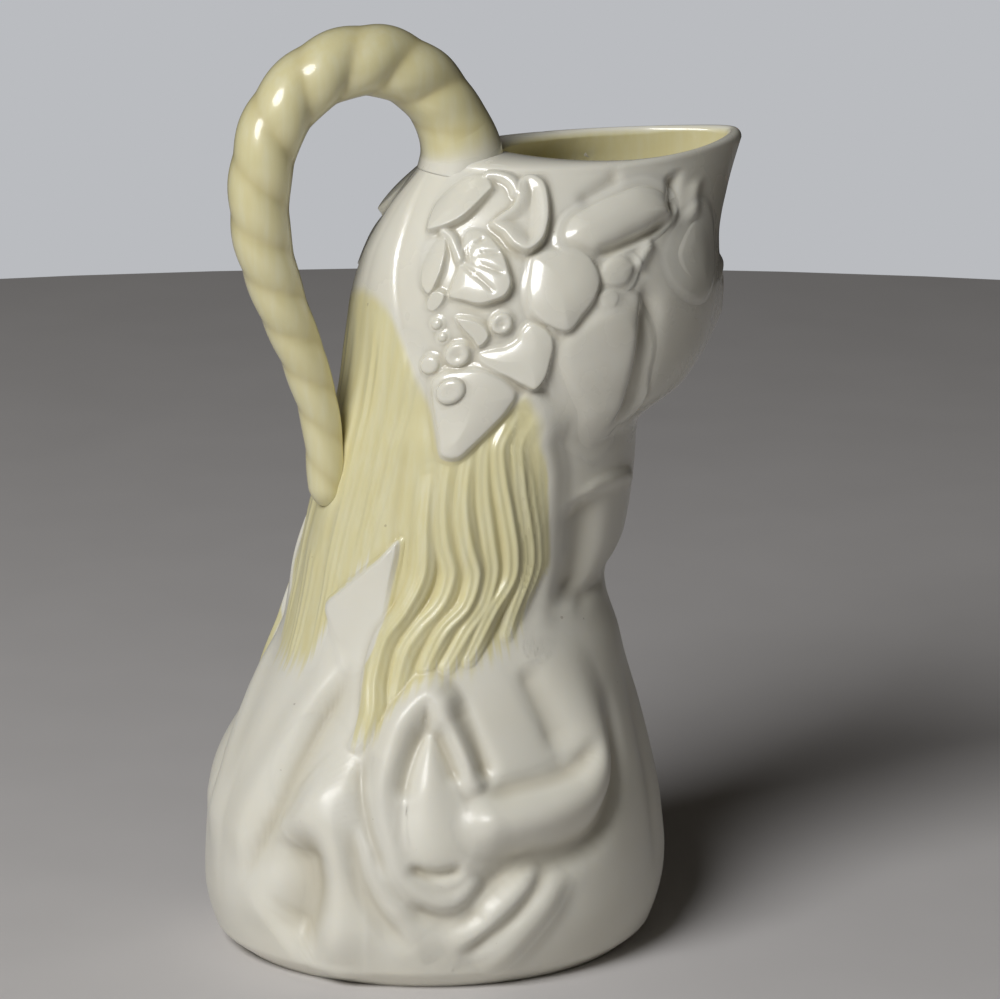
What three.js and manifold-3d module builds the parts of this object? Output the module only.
// A glazed porcelain cream jug in the form of a bowed water maiden: a thin cast body with the soft folds of
// the robe, open at the crown and pinched into a spout over the face, a twisted rope handle luted to the
// back, and the relief sprigs luted to the body: ivy wreath, hair, face, arms, urn and robe folds.
// Millimetres, +Z up, +X towards the spout. The figure's right side is -Y.
import * as THREE from "three";
import { mergeVertices } from "three/addons/utils/BufferGeometryUtils.js";
import Module from "manifold-3d";

const wasm = await Module();
wasm.setup();

// Cast body
const wall = 2.3;
const floorThickness = 3.4;
const footRimWidth = 4;
const footRecess = 1.2;
const rimHeight = 117;
const rimRise = 1; // the rim is this much higher at the spout and at the handle than at its sides
const spoutReach = 51;
const hipReach = 34.5;
const mouthBack = 12.5; // the mouth begins here, in front of the handle's root
const crownDepth = 19; // the inside draws in to the mouth over this height

// Outline of the body by height: reach behind and in front of the foot's centre, half the width, and the
// shares by which the front is pinched into the spout and the back tucked in to the handle's root
const outline = [
  { height: 0, back: 29.5, front: 29, half: 28.5, pinch: 0, tuck: 0 },
  { height: 3, back: 33, front: 32.5, half: 31.5, pinch: 0, tuck: 0 },
  { height: 10, back: hipReach, front: 34.3, half: 33, pinch: 0, tuck: 0 },
  { height: 20, back: 34, front: 33.5, half: 32.5, pinch: 0, tuck: 0 },
  { height: 28, back: 31.5, front: 32, half: 30.5, pinch: 0, tuck: 0 },
  { height: 38, back: 27, front: 29.6, half: 27, pinch: 0, tuck: 0 },
  { height: 46, back: 23, front: 28, half: 24, pinch: 0, tuck: 0 },
  { height: 53.5, back: 21, front: 26, half: 21.5, pinch: 0, tuck: 0 },
  { height: 61, back: 19.5, front: 29.5, half: 20.5, pinch: 0, tuck: 0 },
  { height: 70, back: 17, front: 31, half: 20.5, pinch: 0, tuck: 0 },
  { height: rimHeight + rimRise - 41, back: 15, front: 31.5, half: 20.5, pinch: 0, tuck: 0 },
  { height: rimHeight + rimRise - 35, back: 13.4, front: 40, half: 21, pinch: 0, tuck: 0 },
  { height: rimHeight + rimRise - 29, back: 12.2, front: 43.6, half: 21.5, pinch: 0, tuck: 0 },
  { height: rimHeight + rimRise - 22, back: 11.2, front: 45.2, half: 21.5, pinch: 0, tuck: 0 },
  { height: rimHeight + rimRise - 15, back: 9.4, front: 45.4, half: 20.5, pinch: 0.05, tuck: 0.04 },
  { height: rimHeight + rimRise - 8, back: 5.6, front: 47.6, half: 19, pinch: 0.25, tuck: 0.14 },
  { height: rimHeight + rimRise, back: -0.5, front: spoutReach, half: 17.5, pinch: 0.5, tuck: 0.35 },
];

// Slip joints
const slipGap = 0.35; // between a luted piece and the body
const slipDepth = 0.9; // a piece is made this much too deep and then cut to its joint

// Rope handle: centre line from the crown, over the arch and down to the tail on the back, as x, height
// and thickness
const rootThickness = 13.5;
const rootLedge = 0.75; // crown left between the handle's root and the mouth
const tailHeight = 65.5;
const handleRoute = [
  { x: mouthBack - rootLedge - rootThickness / 2, height: rimHeight - 1.5, thickness: rootThickness },
  { x: 3, height: rimHeight + 5.5, thickness: 11 },
  { x: -2, height: rimHeight + 11.6, thickness: 10.9 },
  { x: -9.5, height: rimHeight + 15, thickness: 11.2 },
  { x: -18, height: rimHeight + 13.6, thickness: 10.8 },
  { x: -24.4, height: rimHeight + 8, thickness: 10.2 },
  { x: -27.3, height: rimHeight - 1, thickness: 9.6 },
  { x: -27.1, height: rimHeight - 9, thickness: 9 },
  { x: -24.4, height: rimHeight - 18.5, thickness: 8 },
  { x: -20.8, height: tailHeight + 24, thickness: 7.1 },
  { x: -18, height: tailHeight + 14, thickness: 6.5 },
  { x: -17.2, height: tailHeight + 6, thickness: 6 },
  { x: -17.6, height: tailHeight, thickness: 4 },
];
const ropeStrands = 2;
const ropeLay = 15; // length of handle in which one strand goes once round
const ropeGroove = 0.12; // depth of the grooves, as a share of the rope's radius

// Hair
const fallTopDepth = 41.6; // from the rim down to the top of the fall
const fallGap = 0.8; // between the lowest leaf and the fall
const fallEnd = 36.5; // height of the end of the longest lock
const sideLockRise = 1.5;
const laneGap = 0.4; // between neighbouring locks
const backLockPitch = 4.6;
const backLockRise = 1;
const backFallEnd = 45;
const backParting = 5.8; // from the middle of the back to the first lock beside the handle's tail
const outerLaneLength = 12.4; // the outer back locks end this far below the top of the fall, over the drape

// Wreath
const leafRise = 1.2;
const leafEdge = 0.5; // thickness of a leaf at its edge
const leafTilt = 0.35; // how much a leaf rises from its middle to its free edge
const leafGap = 0.4; // leaves are drawn in by half of this, so that neighbours stay clear
const berryRise = 0.9; // height of a berry, as a share of its radius

// Face, arms, urn and robe
const faceHalfWidth = 11.5;
const faceRise = 1.1;
const noseRise = 3.2;
const armHalfWidth = 4.6;
const armRise = 3;
const urnHalfWidth = 3.6;
const urnRise = 1.8;
const loopHalfWidth = 2.5;
const loopRise = 2.3;
const foldHalfWidth = 2.2;
const foldRise = 1.3;
const kneeHalfWidth = 5.4;
const kneeRise = 2.3;
const drapeRise = 0.8;
const drapeEdgeRise = 0.35;
const templeRise = 0.9;

// How finely round shapes are cut into facets
const turnSteps = 72;
const levelStep = 4;
const cavityTurnSteps = 24;
const cavityLevelStep = 6;
const ropeSides = 12;
const ropeSteps = 84;
const berrySides = 8;
const patchStep = 4;

const glaze = {
  white: { color: 0xe9e7df, roughness: 0.12, metalness: 0 },
  yellow: { color: 0xe3da9c, roughness: 0.14, metalness: 0 },
};

// Smooth curve through stations that never overshoots them
function smoothTrack(xs, ys) {
  const count = xs.length;
  const slopes = xs.slice(1).map((x, i) => (ys[i + 1] - ys[i]) / (x - xs[i]));
  const tangents = xs.map((_, i) => {
    const before = slopes[Math.max(i - 1, 0)];
    const after = slopes[Math.min(i, count - 2)];
    return before * after <= 0 ? 0 : (2 * before * after) / (before + after);
  });
  return (x) => {
    let i = 0;
    while (i < count - 2 && x > xs[i + 1]) i += 1;
    const span = xs[i + 1] - xs[i];
    const t = (x - xs[i]) / span;
    const t2 = t * t;
    const t3 = t2 * t;
    return (
      (2 * t3 - 3 * t2 + 1) * ys[i] +
      (t3 - 2 * t2 + t) * span * tangents[i] +
      (3 * t2 - 2 * t3) * ys[i + 1] +
      (t3 - t2) * span * tangents[i + 1]
    );
  };
}

const heights = outline.map((station) => station.height);
const trackOf = (key) => smoothTrack(heights, outline.map((station) => station[key]));
const backAt = trackOf("back");
const frontAt = trackOf("front");
const halfAt = trackOf("half");
const pinchAt = trackOf("pinch");
const tuckAt = trackOf("tuck");
const radians = THREE.MathUtils.degToRad;

// A point of the body's outer face: degrees from the spout towards the figure's right, and height
function facePoint(turn, height) {
  const c = Math.cos(radians(turn));
  const s = Math.sin(radians(turn));
  const back = -backAt(height);
  const front = frontAt(height);
  const narrowing = 1 - pinchAt(height) * ((1 + c) / 2) ** 2 - tuckAt(height) * ((1 - c) / 2) ** 2;
  return new THREE.Vector3(
    (front + back) / 2 + ((front - back) / 2) * c,
    -halfAt(height) * s * narrowing,
    height,
  );
}

// Position, outward normal and the two surface directions per degree and per millimetre of height
function faceFrame(turn, height) {
  const point = facePoint(turn, height);
  const probe = 0.05;
  const perDegree = facePoint(turn + probe, height).sub(point).divideScalar(probe);
  const perHeight = facePoint(turn, height + probe).sub(point).divideScalar(probe);
  const normal = new THREE.Vector3().crossVectors(perHeight, perDegree).normalize();
  return { point, perDegree, perHeight, normal };
}

function liftedPoint(turn, height, lift) {
  const { point, normal } = faceFrame(turn, height);
  return point.addScaledVector(normal, lift);
}

// Places on the head are degrees from the spout and millimetres below the rim
const onHead = ([turn, below]) => [turn, rimHeight - below];

// Places in the fall of hair are degrees from the spout and millimetres below its top. What lies below the
// top stretches with the length of the fall.
const fallLength = 38.9; // of the longest lock as listed below
const fallTop = rimHeight - fallTopDepth;
const fallStretch = (fallTop - fallEnd) / fallLength;
const inFall = ([turn, below]) => [turn, fallTop - below * (below > 0 ? fallStretch : 1)];

// Relief cast with the body, alike on both sides: lines on its face as degrees from the spout and height, the
// height of the relief in mm (negative for a hollow) and its spread to either side
const castRelief = [
  // the cloak behind the knee, and the hollow beside the knee
  { line: [[149, 45], [157, 35.5], [164, 26], [167, 17]], relief: -1.2, spread: 2 },
  { line: [[154, 48], [163, 37], [170, 24], [171, 14]], relief: 0.8, spread: 2.7 },
  { line: [[144.6, 24], [144.2, 16], [148.4, 8.4], [151, 5]], relief: -1.4, spread: 3.2 },
  // folds that sweep forward under the arm
  { line: [[115, 11], [100, 14.6], [90, 17.8], [78, 20]], relief: -1.1, spread: 1.8 },
  { line: [[101, 4.5], [90, 8], [80, 12.8], [70, 16.4]], relief: 1, spread: 1.8 },
  // the front of the robe
  { line: [[42, 52], [49, 42], [52, 24]], relief: 0.6, spread: 1.8 },
  { line: [[30, 46], [36, 28], [40, 9]], relief: -0.7, spread: 2.4 },
  { line: [[20, 44], [23, 23], [26, 6]], relief: 0.7, spread: 2.8 },
  { line: [[6, 42], [9, 14]], relief: -0.5, spread: 2.4 },
  // hollows of the chest and neck, and the edge of the robe between them
  { line: [[69, 67], [64.5, 61], [63, 55]], relief: -1.3, spread: 3.2 },
  { line: [[64, 52], [42, 54.5], [18, 55]], relief: -0.6, spread: 2 },
  { line: [[74, 68], [60, 70], [28, 68]], relief: 0.6, spread: 1.8 },
  // the pointed lock that falls in front of the other hair
  { line: [[105, -7.6], [94, -3.2], [86, 7.4], [77.5, 20.9]].map(inFall), relief: 1, spread: 1.8 },
];
const reliefFade = 4; // the relief fades out over this height at the foot and at the rim

const bell = (distance, spread) => Math.exp(-((distance / spread) ** 2));

// The lines laid flat in millimetres, each by the face's scale at its middle
const reliefLines = castRelief.map(({ line, relief, spread }) => {
  const { perDegree, perHeight } = faceFrame(...line[Math.floor(line.length / 2)]);
  const flat = (turn, height) => new THREE.Vector3(turn * perDegree.length(), height * perHeight.length(), 0);
  const points = line.map((place) => flat(...place));
  const pieces = points.slice(1).map((end, i) => new THREE.Line3(points[i], end));
  return { flat, pieces, relief, spread };
});

function castReliefAt(turn, height) {
  const around = THREE.MathUtils.euclideanModulo(turn, 360);
  const folded = Math.min(around, 360 - around);
  const { smoothstep } = THREE.MathUtils;
  const fade = smoothstep(height, 0, reliefFade) * smoothstep(rimHeight - height, 0, reliefFade);
  const nearest = new THREE.Vector3();
  return reliefLines.reduce((total, { flat, pieces, relief, spread }) => {
    const place = flat(folded, height);
    const distanceTo = (piece) => piece.closestPointToPoint(place, true, nearest).distanceTo(place);
    const distances = pieces.map(distanceTo);
    return total + fade * relief * bell(Math.min(...distances), spread);
  }, 0);
}

const castPoint = (turn, height, lift) => liftedPoint(turn, height, lift + castReliefAt(turn, height));

// From a place on the body, the place that lies some millimetres along a direction in its tangent plane
function stepAcross(frame, turn, height, direction, distance) {
  const { perDegree, perHeight } = frame;
  const dd = perDegree.dot(perDegree);
  const dh = perDegree.dot(perHeight);
  const hh = perHeight.dot(perHeight);
  const a = direction.dot(perDegree) * distance;
  const b = direction.dot(perHeight) * distance;
  const scale = 1 / (dd * hh - dh * dh);
  return { turn: turn + (a * hh - b * dh) * scale, height: height + (b * dd - a * dh) * scale };
}

function geometryOf(vertices, triangles) {
  const positions = new Float32Array(vertices.flatMap((v) => [v.x, v.y, v.z]));
  const geometry = new THREE.BufferGeometry();
  geometry.setAttribute("position", new THREE.BufferAttribute(positions, 3));
  geometry.setIndex(triangles);
  geometry.computeVertexNormals();
  return geometry;
}

// Triangles between rings of equal count, closed round, with both ends capped to a middle point
function ringsGeometry(rings, startPoint, endPoint) {
  const vertices = [...rings.flat(), startPoint, endPoint];
  const count = rings[0].length;
  const start = rings.length * count;
  const triangles = [];
  for (let i = 0; i < count; i += 1) {
    const next = (i + 1) % count;
    for (let r = 0; r < rings.length - 1; r += 1) {
      const low = r * count;
      const high = low + count;
      triangles.push(low + i, low + next, high + i, low + next, high + next, high + i);
    }
    const last = (rings.length - 1) * count;
    triangles.push(start, next, i, start + 1, last + i, last + next);
  }
  return geometryOf(vertices, triangles);
}

function solidOf(geometry) {
  const bare = geometry.clone();
  bare.deleteAttribute("normal");
  bare.deleteAttribute("uv");
  const merged = mergeVertices(bare, 1e-4);
  return new wasm.Manifold(
    new wasm.Mesh({
      numProp: 3,
      vertProperties: merged.attributes.position.array,
      triVerts: new Uint32Array(merged.index.array),
    }),
  );
}

function geometryFrom(solid) {
  const bodies = solid.decompose().sort((a, b) => b.volume() - a.volume());
  const mesh = bodies[0].getMesh();
  const geometry = new THREE.BufferGeometry();
  geometry.setAttribute("position", new THREE.BufferAttribute(mesh.vertProperties, 3));
  geometry.setIndex(new THREE.BufferAttribute(mesh.triVerts, 1));
  geometry.computeVertexNormals();
  return geometry;
}

// Heights of the rings of the body: every station, and steps between stations that lie far apart
function levelsFrom(lowest, furthest) {
  const levels = [];
  heights.slice(1).forEach((high, i) => {
    const low = heights[i];
    const pieces = Math.ceil((high - low) / furthest);
    for (let p = 0; p < pieces; p += 1) levels.push(low + ((high - low) * p) / pieces);
  });
  return levels.filter((height) => height > lowest);
}

const rimAt = (turn) => rimHeight + rimRise * Math.cos(radians(turn)) ** 2;

function ring(steps, pointAt) {
  return Array.from({ length: steps }, (_, i) => pointAt((-360 * i) / steps));
}

// The body's outer form, filled, and lifted off its face by a gap where it serves to cut another piece
function bodyForm(lift) {
  const lowest = 0;
  const foot = ring(turnSteps, (turn) => liftedPoint(turn, lowest, 0));
  const rings = [foot.map((p) => p.clone().setZ(-lift))];
  levelsFrom(lowest - 1, levelStep).forEach((height) => {
    rings.push(ring(turnSteps, (turn) => castPoint(turn, height, lift)));
  });
  if (lift === 0) rings.shift();
  rings.push(ring(turnSteps, (turn) => liftedPoint(turn, rimAt(turn), lift).setZ(rimAt(turn) + lift)));
  const bottom = new THREE.Vector3(0, 0, -lift);
  const top = new THREE.Vector3((spoutReach + backAt(rimHeight)) / 2, 0, rimHeight + lift);
  return solidOf(ringsGeometry(rings, bottom, top));
}

// The hollow that the slip leaves when it is poured out: the outer form drawn in by the wall
function cavityForm() {
  const above = rimHeight + rimRise + wall;
  const levels = [floorThickness, ...levelsFrom(floorThickness + 1, cavityLevelStep)];
  const drawIn = smoothTrack([0, rimHeight - crownDepth, rimHeight, above], [0, 0, 1, 1]);
  const inner = (turn, height) => {
    const point = liftedPoint(turn, Math.max(height, 1), -wall).setZ(height);
    const front = frontAt(height) - wall;
    const back = wall - backAt(height);
    const share = ((mouthBack - back) / (front - back)) * drawIn(height);
    return point.setX(point.x + (front - point.x) * share);
  };
  const rings = levels.map((height) => ring(cavityTurnSteps, (turn) => inner(turn, height)));
  rings.push(ring(cavityTurnSteps, (turn) => inner(turn, rimHeight).setZ(above)));
  const bottom = new THREE.Vector3(0, 0, floorThickness);
  const top = new THREE.Vector3(spoutReach / 2, 0, above);
  return solidOf(ringsGeometry(rings, bottom, top));
}

// The shallow hollow under the foot, which leaves a flat rim to stand on
function footHollow() {
  const edge = (turn) => {
    const { point } = faceFrame(turn, 0);
    const flat = Math.hypot(point.x, point.y);
    return point.multiplyScalar((flat - footRimWidth) / flat);
  };
  const rings = [-footRecess, footRecess].map((height) => ring(turnSteps, (turn) => edge(turn).setZ(height)));
  return solidOf(
    ringsGeometry(rings, new THREE.Vector3(0, 0, -footRecess), new THREE.Vector3(0, 0, footRecess)),
  );
}

function castBodyGeometry() {
  return geometryFrom(bodyForm(0).subtract(cavityForm()).subtract(footHollow()));
}

// Cuts a piece back to its slip joint with the body
const slipForm = bodyForm(slipGap);
const lutedGeometry = (geometry) => geometryFrom(solidOf(geometry).subtract(slipForm));

// A tube of twisted strands along the handle's route, cut back to a slip joint where it meets the body
function ropeHandleGeometry() {
  const route = new THREE.CatmullRomCurve3(
    handleRoute.map(({ x, height }) => new THREE.Vector3(x, 0, height)),
    false,
    "centripetal",
  );
  const knots = handleRoute.map((_, i) => i / (handleRoute.length - 1));
  const thicknessAt = smoothTrack(knots, handleRoute.map(({ thickness }) => thickness));
  const sideways = new THREE.Vector3(0, 1, 0);
  const rings = [];
  let travelled = 0;
  let last = route.getPoint(0);
  for (let step = 0; step <= ropeSteps; step += 1) {
    const share = step / ropeSteps;
    const centre = route.getPoint(share);
    travelled += centre.distanceTo(last);
    last = centre;
    const along = route.getTangent(share);
    const outward = new THREE.Vector3().crossVectors(sideways, along).normalize();
    const radius = thicknessAt(share) / 2;
    const lay = (2 * Math.PI * travelled) / ropeLay;
    rings.push(
      Array.from({ length: ropeSides }, (_, i) => {
        const angle = (2 * Math.PI * i) / ropeSides;
        const swell = 1 - ropeGroove * (1 - Math.cos(ropeStrands * (angle + lay))) * 0.5;
        return centre
          .clone()
          .addScaledVector(outward, radius * swell * Math.cos(angle))
          .addScaledVector(sideways, radius * swell * Math.sin(angle));
      }),
    );
  }
  return lutedGeometry(ringsGeometry(rings, route.getPoint(0), route.getPoint(1)));
}

// A smooth curve through places on the body
function routeCurve(places) {
  const points = places.map(([turn, height]) => new THREE.Vector3(turn, height, 0));
  return new THREE.CatmullRomCurve3(points, false, "centripetal");
}

// A sprig: a closed relief that follows a route over the body. Its width is set along the route, its rise
// along the route and across it, and a lane moves it sideways from the route.
function sprigGeometry({ route, side = 1, lane = 0, halfWidth, rise, steps = 8, across = 4 }) {
  const curve = routeCurve(route);
  const upper = [];
  const lower = [];
  for (let i = 0; i <= steps; i += 1) {
    const s = i / steps;
    const { x: turn, y: height } = curve.getPoint(s);
    const heading = curve.getTangent(s);
    const frame = faceFrame(turn, height);
    const along = frame.perDegree
      .clone()
      .multiplyScalar(heading.x)
      .addScaledVector(frame.perHeight, heading.y)
      .normalize();
    const sideways = new THREE.Vector3().crossVectors(frame.normal, along);
    for (let j = 0; j <= across; j += 1) {
      const t = (2 * j) / across - 1;
      const place = stepAcross(frame, turn, height, sideways, lane + halfWidth(s) * t);
      lower.push(castPoint(place.turn, place.height, -slipDepth));
      upper.push(castPoint(place.turn, place.height, slipGap + rise(s, t)));
    }
  }
  const vertices = [...upper, ...lower];
  if (side < 0) vertices.forEach((v) => v.setY(-v.y));
  return lutedGeometry(geometryOf(vertices, slabTriangles(steps, across, side < 0)));
}

// Triangles of a slab with an upper and a lower grid of points, turned round if it is a mirror image
function slabTriangles(steps, across, mirrored) {
  const row = across + 1;
  const under = (steps + 1) * row;
  const triangles = [];
  const quad = (a, b, c, d) => {
    if (mirrored) triangles.push(a, c, b, a, d, c);
    else triangles.push(a, b, c, a, c, d);
  };
  for (let i = 0; i < steps; i += 1) {
    for (let j = 0; j < across; j += 1) {
      const p = i * row + j;
      quad(p, p + row, p + row + 1, p + 1);
      quad(under + p, under + p + 1, under + p + row + 1, under + p + row);
    }
    const first = i * row;
    const lastOne = first + across;
    quad(first, under + first, under + first + row, first + row);
    quad(lastOne, lastOne + row, under + lastOne + row, under + lastOne);
  }
  for (let j = 0; j < across; j += 1) {
    const end = steps * row + j;
    quad(j, j + 1, under + j + 1, under + j);
    quad(end, under + end, under + end + 1, end + 1);
  }
  return triangles;
}

const roundSection = (t) => Math.sqrt(Math.max(0, 1 - t * t));
const taper = (s) => Math.sin(Math.PI * Math.min(Math.max(s, 0), 1));
const crown = (height, edge) => (s, t) => edge + (height - edge) * roundSection(t);

// A patch: a closed relief inside an outline on the body, thin at its edge and lifted over it by a rise that
// depends on the place and on how near to the edge it is. A base raises it onto another piece.
const patchRings = [1, 0.86, 0.66, 0.36];

// An outline with points between its own where they lie far apart
function closeSet(edge, hub) {
  const flat = flatFrom(hub);
  return edge.flatMap((place, i) => {
    const next = edge[(i + 1) % edge.length];
    const steps = Math.ceil(flat(place).distanceTo(flat(next)) / patchStep);
    return Array.from({ length: steps }, (_, j) =>
      place.map((value, k) => THREE.MathUtils.lerp(value, next[k], j / steps)),
    );
  });
}

function patchGeometry({ outline: corners, hub, side = 1, rise, base = 0 }) {
  const edge = closeSet(corners, hub);
  const toHub = (place, share) => place.map((value, k) => THREE.MathUtils.lerp(hub[k], value, share));
  const inward = (share) => edge.map((place) => toHub(place, share));
  const bottom = base === 0 ? -slipDepth : base + slipGap;
  const lifts = (share) => (place) => castPoint(...place, base + slipGap + rise(share, ...place));
  const rings = [
    inward(1).map((place) => castPoint(...place, bottom)),
    ...patchRings.map((share) => inward(share).map(lifts(share))),
  ];
  const ends = [castPoint(...hub, bottom), lifts(0)(hub)];
  if (side < 0) [...rings.flat(), ...ends].forEach((v) => v.setY(-v.y));
  else rings.forEach((points) => points.reverse());
  return lutedGeometry(ringsGeometry(rings, ...ends));
}

function middleOf(places) {
  const mean = (values) => values.reduce((sum, value) => sum + value, 0) / values.length;
  return [mean(places.map(([turn]) => turn)), mean(places.map(([, height]) => height))];
}

// The right-hand side of the wreath: outlines of the leaves on the head, clockwise seen from outside, and the
// place that each leaf lifts towards
const wreathLeaves = [
  {
    edge: [[153, 1.8], [142.5, 1.8], [135.5, 3.2], [141, 6.2], [151, 8], [158, 7.4], [160, 4]],
    toward: [136, 4],
  },
  {
    edge: [
      [126, 3.4], [124, 1.8], [119, 2], [114.5, 4.5], [112, 7.8], [112.5, 10.4], [116, 11.6], [125.5, 9.2],
      [130.5, 7.6], [126, 5.4],
    ],
    toward: [112, 9],
  },
  {
    edge: [
      [139, 9], [134, 8.6], [128.5, 9.8], [123.5, 11.8], [119.5, 15.8], [121, 17.4], [128.5, 18.6],
      [139.5, 17.6], [138, 14],
    ],
    toward: [120, 16],
  },
  {
    edge: [
      [114, 11.8], [108, 11], [101.5, 11], [94.5, 13], [92, 15.8], [97.5, 20.5], [101.5, 22.6], [113, 19.5],
      [114.6, 16],
    ],
    toward: [96, 19.6],
  },
  {
    edge: [
      [105, 9.8], [105, 7.2], [92.5, 4.4], [84, 3.6], [76, 4.4], [67.5, 8], [83, 11], [90.5, 11.8],
      [98.5, 11.5],
    ],
    toward: [70, 7],
  },
  {
    edge: [
      [113, 21.2], [108, 21.8], [105, 24], [105, 26.5], [108, 30.8], [116.5, 29.2], [126.5, 26.8], [124, 25],
      [116, 23.6],
    ],
    toward: [106, 28],
  },
  {
    // the lowest leaf hangs down to the top of the fall of hair
    edge: [
      [125.5, 27.8], [115.5, 30], [112.5, 31.5], [117, fallTopDepth - 3.2], [122, fallTopDepth - fallGap],
      [128, fallTopDepth - 1], [136.5, fallTopDepth - 6.4], [141, 29.5], [136, 28],
    ],
    toward: [116, fallTopDepth - 4.1],
  },
  {
    edge: [[92.5, 14.6], [89, 12.7], [84, 12.6], [80, 14.4], [82, 16.6], [87, 17.2], [91, 16.4]],
    toward: [81, 16],
  },
  {
    edge: [[147, 9.2], [143.4, 12], [143.4, 15], [146.6, 17.6], [152, 14], [152, 10.4]],
    toward: [142.6, 13.6],
  },
];
const browLeaf = {
  edge: [[61.5, 13.8], [54.5, 9.8], [47.5, 10.8], [42, 13.8], [42, 16.2], [45.5, 18.4], [53.5, 17.8]],
  toward: [42, 15.4],
};
const templeLock = {
  edge: [
    [101.5, 23], [93.5, 20], [87.5, 19.4], [79.5, 21], [72.5, 29], [61, 39.6], [69, 41], [90, 34.6],
    [103.4, 25.4],
  ],
  toward: [90, 21],
};

// Berries: place on the head, radius, and the leaf that the berry sits on if it isn't luted to the body
const wreathBerries = [
  { place: [121.5, 21.2], radius: 1.65 },
  { place: [134, 24.8], radius: 1.9 },
  { place: [133.5, 31.2], radius: 2.1, leaf: wreathLeaves[6] },
];

// Millimetres from a hub to a place, along the face and up it
function flatFrom(hub) {
  const { perDegree, perHeight } = faceFrame(...hub);
  return ([turn, height]) =>
    new THREE.Vector2((turn - hub[0]) * perDegree.length(), (height - hub[1]) * perHeight.length());
}

// Height of a leaf's face, which tilts up towards one place
function leafFace({ edge, toward }, rise) {
  const hub = middleOf(edge.map(onHead));
  const flat = flatFrom(hub);
  const way = flat(onHead(toward));
  return (place) => rise * (1 + leafTilt * (flat(place).dot(way) / way.lengthSq()));
}

function leafGeometry(leaf, rise, side) {
  const edge = leaf.edge.map(onHead);
  const hub = middleOf(edge);
  const flat = flatFrom(hub);
  const drawnIn = edge.map((place) => {
    const share = 1 - leafGap / 2 / flat(place).length();
    return place.map((value, k) => THREE.MathUtils.lerp(hub[k], value, share));
  });
  const face = leafFace(leaf, rise);
  return patchGeometry({
    outline: drawnIn,
    hub,
    side,
    rise: (share, ...place) => (share === 1 ? Math.min(leafEdge, face(place)) : face(place)),
  });
}

function berryGeometry({ place, radius, leaf }, side) {
  const hub = onHead(place);
  const { perDegree, perHeight } = faceFrame(...hub);
  const round = Array.from({ length: berrySides }, (_, i) => {
    const angle = (2 * Math.PI * i) / berrySides;
    return [
      hub[0] + (radius * Math.cos(angle)) / perDegree.length(),
      hub[1] + (radius * Math.sin(angle)) / perHeight.length(),
    ];
  });
  return patchGeometry({
    outline: round,
    hub,
    side,
    base: leaf ? slipGap + leafFace(leaf, leafRise)(hub) : 0,
    rise: (share) => radius * berryRise * (0.25 + 0.75 * roundSection(share)),
  });
}

// The wavy fall of hair before the shoulder: the line of each lock in the fall
const sideLocks = [
  [[132, 0], [129, 8], [125.6, 17], [129.5, 21.4], [136, 25.4], [138.5, 31], [137, 36], [139, 38.9]],
  [[124.5, 1], [124, 5.4], [120, 11.4], [115.6, 15.8], [116.6, 20], [123.5, 23.4], [129, 26.8], [131, 33]],
  [[117, 0.4], [116.4, 6], [111.8, 11.8], [107.2, 16.4], [107.8, 20.4], [115, 23.8], [121.5, 28.4]],
  [[111, -2.6], [109, 4], [104.2, 11], [100.6, 16.4], [101, 20.4], [107.4, 24.4], [113, 28]],
  [[106.6, -5.6], [103, 0.4], [98.6, 7.4], [95, 13], [93.6, 17.4], [95.6, 21.4], [101.4, 26.6]],
  [[101, -6.4], [97, -1.6], [93.6, 4.4], [90, 9.4], [87.4, 14], [86, 18.2], [89, 23.6]],
];
const lockCurves = sideLocks.map((line) => routeCurve(line.map(inFall)));
const lockPoints = lockCurves.map((curve) => curve.getPoints(40).map(({ x, y }) => facePoint(x, y)));

// A lock fills the room between its neighbours and leaves a gap to each of them
function sideLockGeometry(i, side) {
  const neighbours = [lockPoints[i - 1], lockPoints[i + 1]].flatMap((points) => points ?? []);
  const halfRoom = (s) => {
    const { x, y } = lockCurves[i].getPoint(s);
    const here = facePoint(x, y);
    return (Math.min(...neighbours.map((point) => point.distanceTo(here))) - laneGap) / 2;
  };
  return sprigGeometry({
    route: sideLocks[i].map(inFall),
    side,
    halfWidth: (s) => halfRoom(s) * (0.5 + 0.45 * taper(0.16 + 0.74 * s)),
    rise: crown(sideLockRise, 0.5),
    steps: 12,
    across: 3,
  });
}

// Locks down the back, beside the handle's tail and below it: lane number, top and end
const [, outerLaneEnd] = inFall([180, outerLaneLength]);
const backLocks = [
  { lane: 0, top: tailHeight - 4, end: backFallEnd },
  { lane: 1, top: rimHeight - 22, end: backFallEnd },
  { lane: -1, top: rimHeight - 22, end: backFallEnd },
  { lane: 2, top: rimHeight - 25, end: outerLaneEnd },
  { lane: -2, top: rimHeight - 25, end: outerLaneEnd },
];

function backLockGeometry({ lane, top, end }) {
  const offset = lane === 0 ? 0 : Math.sign(lane) * (backParting + (Math.abs(lane) - 1) * backLockPitch);
  return sprigGeometry({
    route: [
      [180, top],
      [180, (top + end) / 2],
      [180, end],
    ],
    lane: offset,
    halfWidth: (s) => ((backLockPitch - laneGap) / 2) * (0.5 + 0.5 * taper(0.15 + 0.75 * s)),
    rise: crown(backLockRise, 0.5),
    steps: 8,
    across: 3,
  });
}

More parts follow.
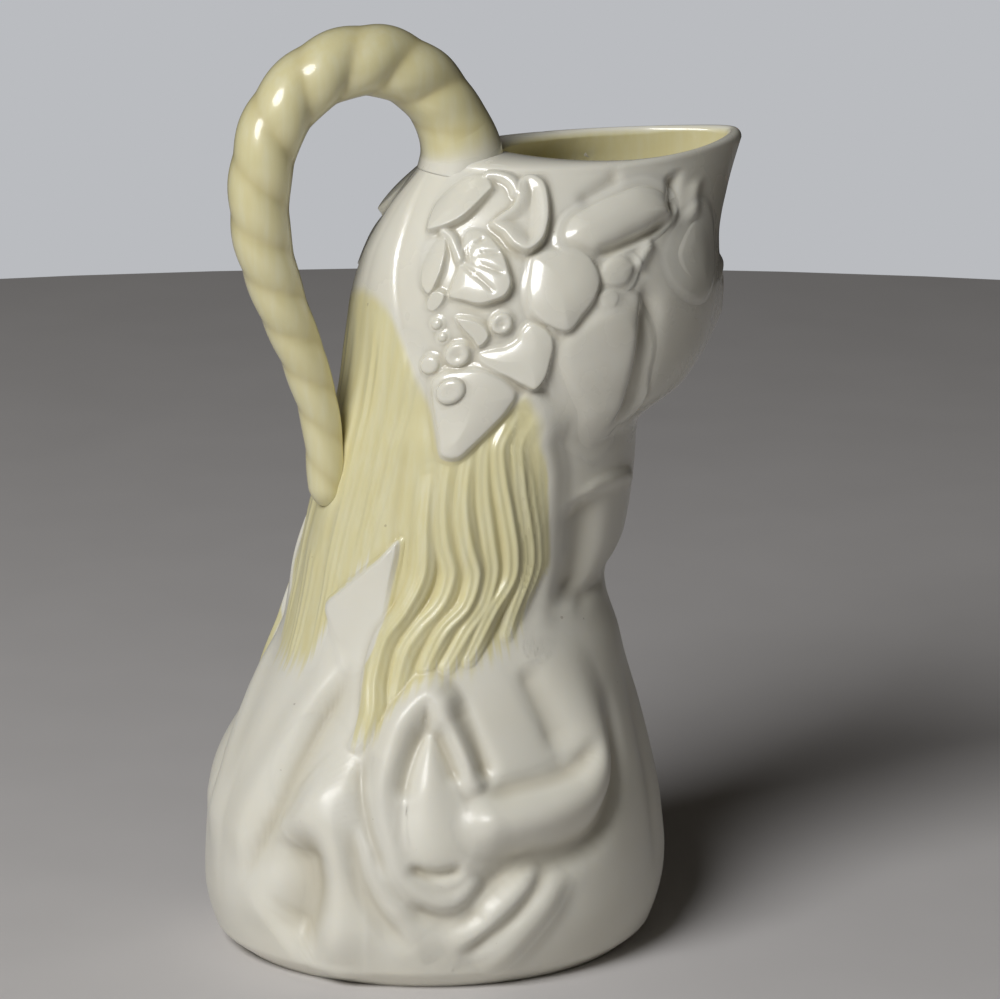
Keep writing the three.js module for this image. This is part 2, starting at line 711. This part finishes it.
// A calm mask on plain canon proportions: brow, eye hollows, eyelids, nose, cheeks, lips and chin.
// s runs from the brow to the chin and t across the face.
function faceRelief(s, t) {
  const side = Math.abs(t);
  const mask = (faceRise - 0.4) * roundSection(t * 0.98) * taper(0.12 + 0.78 * s);
  const brow = 0.5 * bell(s - 0.14, 0.08) * bell(side - 0.38, 0.3);
  const hollow = -0.7 * bell(s - 0.27, 0.08) * bell(side - 0.38, 0.17);
  const lid = 0.75 * bell(s - 0.285, 0.05) * bell(side - 0.38, 0.13);
  const bridge = (0.3 + 0.7 * Math.min(1, s / 0.52)) * Math.min(1, s / 0.08);
  const nose = noseRise * bridge * bell(t, 0.11 + 0.06 * s) * bell(Math.max(0, s - 0.52), 0.06);
  const cheek = 0.5 * bell(s - 0.48, 0.16) * bell(side - 0.46, 0.2);
  const lips = 0.95 * (bell(s - 0.66, 0.035) + 1.1 * bell(s - 0.735, 0.04)) * bell(t, 0.24);
  const chin = 1.1 * bell(s - 0.92, 0.09) * bell(t, 0.26);
  return 0.4 + mask + brow + hollow + lid + nose + cheek + lips + chin;
}

// Half width of the mask from the brow to the chin
const faceOval = smoothTrack([0, 0.2, 0.5, 0.75, 0.92, 1], [0.72, 0.94, 1, 0.84, 0.58, 0.4]);

function faceGeometry() {
  return sprigGeometry({
    route: [15.5, 21, 28, 33, 35.8].map((below) => onHead([0, below])),
    halfWidth: (s) => faceHalfWidth * faceOval(s),
    rise: faceRelief,
    steps: 16,
    across: 12,
  });
}

// Right arm: from the shoulder, round the elbow, to the hand on the urn. The left hand rests on the lap.
const rightArmRoute = [
  [84, 47.4],
  [79, 45.6],
  [71.6, 41.6],
  [67, 36.6],
  [66.4, 31.4],
  [72.4, 27.8],
  [83, 26.2],
  [100.4, 25],
];
const leftArmRoute = [
  [84, 47.4],
  [77, 43.4],
  [68, 35],
  [58, 27],
  [44, 23],
  [31, 23],
];
const armWidth = smoothTrack([0, 0.25, 0.5, 1], [0.5, 0.95, 1, 0.9]);
const armHeight = smoothTrack([0, 0.3, 0.6, 1], [0.25, 0.75, 0.95, 1]);

function armGeometry(route, side) {
  return sprigGeometry({
    route,
    side,
    halfWidth: (s) => armHalfWidth * armWidth(s),
    rise: (s, t) => 0.4 + (armRise - 0.4) * roundSection(t) * armHeight(s),
    steps: 14,
    across: 6,
  });
}

const urnRoute = [
  [117.4, 35.5],
  [116.4, 29.4],
  [114.6, 22.6],
];
const urnWidth = smoothTrack([0, 0.5, 1], [0.4, 0.82, 1]); // from the urn's neck to its mouth

function urnGeometry() {
  return sprigGeometry({
    route: urnRoute,
    halfWidth: (s) => urnHalfWidth * urnWidth(s),
    rise: (s, t) => 0.5 + (urnRise - 0.5) * roundSection(t),
    steps: 7,
    across: 5,
  });
}

// The sleeve: from the lip under the urn's mouth, up its far side and over it, down to the hand
const loopRoute = [
  [104.8, 16.8],
  [109.5, 14.9],
  [115.5, 15.3],
  [121, 17.6],
  [125, 21.4],
  [128, 27],
  [128.4, 33.4],
  [125.6, 39.4],
  [119.8, 42],
  [113.6, 39.8],
  [108, 35.6],
  [105, 31.4],
];

function sleeveLoopGeometry() {
  return sprigGeometry({
    route: loopRoute,
    halfWidth: (s) => loopHalfWidth * (0.6 + 0.4 * taper(0.1 + 0.75 * s)),
    rise: crown(loopRise, 0.5),
    steps: 22,
    across: 4,
  });
}

// Robe folds: route, half width and rise
const kneeRoute = [
  [154, 34],
  [147, 29],
  [141.6, 22],
  [139.4, 15],
  [138, 6],
];
const sweepRoute = [
  [112, 8.2],
  [100.5, 11.2],
  [90, 14.8],
  [79, 18.4],
  [72, 20.2],
];
const fallRoute = [
  [131, 18.2],
  [127.4, 13],
  [123.6, 9],
  [119, 5.2],
];
const kneeWidth = smoothTrack([0, 0.3, 0.6, 1], [0.5, 1, 0.62, 0.5]);

function kneeGeometry(side) {
  return sprigGeometry({
    route: kneeRoute,
    side,
    halfWidth: (s) => kneeHalfWidth * kneeWidth(s),
    rise: (s, t) => 0.3 + (kneeRise - 0.3) * (1 - t * t) * kneeWidth(s),
    steps: 9,
    across: 6,
  });
}

function foldGeometry(route, side) {
  return sprigGeometry({
    route,
    side,
    halfWidth: (s) => foldHalfWidth * (0.45 + 0.55 * taper(0.1 + 0.75 * s)),
    rise: (s, t) => 0.4 + (foldRise - 0.4) * roundSection(t) * taper(0.15 + 0.7 * s),
    steps: 7,
    across: 4,
  });
}

// The pointed end of the cloak over the shoulder, beside the fall of hair, which runs out into the robe below
const drapeEdge = [
  [136.8, 18.4], [142, 26], [144, 29.4], [148.5, 30.4], [153, 27.8], [156.6, 24], [157.6, 20.6], [152, 19],
  [146, 17.4], [138.6, 13],
].map(inFall);

function drapeGeometry(side) {
  const levels = drapeEdge.map(([, height]) => height);
  const { inverseLerp, lerp } = THREE.MathUtils;
  const shareUp = (height) => inverseLerp(Math.min(...levels), Math.max(...levels), height);
  const face = (height) => lerp(drapeEdgeRise, drapeRise, shareUp(height));
  return patchGeometry({
    outline: drapeEdge,
    hub: middleOf(drapeEdge),
    side,
    rise: (share, turn, height) => (share === 1 ? drapeEdgeRise : face(height)),
  });
}

const jug = new THREE.Group();
// The origin lies under the middle of the whole jug, between the back of the hips and the spout's tip
jug.position.x = (hipReach - spoutReach) / 2;

function addPiece(name, geometry, finish) {
  const mesh = new THREE.Mesh(geometry, new THREE.MeshStandardMaterial(finish));
  mesh.name = name;
  jug.add(mesh);
}

const sides = [
  ["right", 1],
  ["left", -1],
];

addPiece("cast_body", castBodyGeometry(), glaze.white);
addPiece("rope_handle", ropeHandleGeometry(), glaze.yellow);
addPiece("face", faceGeometry(), glaze.white);
for (const [label, side] of sides) {
  wreathLeaves.forEach((leaf, i) => {
    addPiece(`${label}_ivy_leaf_${i + 1}`, leafGeometry(leaf, leafRise, side), glaze.white);
  });
  addPiece(`${label}_brow_leaf`, leafGeometry(browLeaf, leafRise, side), glaze.white);
  wreathBerries.forEach((berry, i) => {
    addPiece(`${label}_berry_${i + 1}`, berryGeometry(berry, side), glaze.white);
  });
  sideLocks.forEach((_, i) => {
    addPiece(`${label}_side_lock_${i + 1}`, sideLockGeometry(i, side), glaze.yellow);
  });
  addPiece(`${label}_temple_lock`, leafGeometry(templeLock, templeRise, side), glaze.white);
  addPiece(`${label}_shoulder_drape`, drapeGeometry(side), glaze.white);
  addPiece(`${label}_knee`, kneeGeometry(side), glaze.white);
  addPiece(`${label}_robe_sweep`, foldGeometry(sweepRoute, side), glaze.white);
}
backLocks.forEach((lock, i) => addPiece(`back_lock_${i + 1}`, backLockGeometry(lock), glaze.yellow));
addPiece("right_arm", armGeometry(rightArmRoute, 1), glaze.white);
addPiece("left_arm", armGeometry(leftArmRoute, -1), glaze.white);
addPiece("urn", urnGeometry(), glaze.white);
addPiece("sleeve_loop", sleeveLoopGeometry(), glaze.white);
addPiece("robe_fall", foldGeometry(fallRoute, 1), glaze.white);

export default jug;
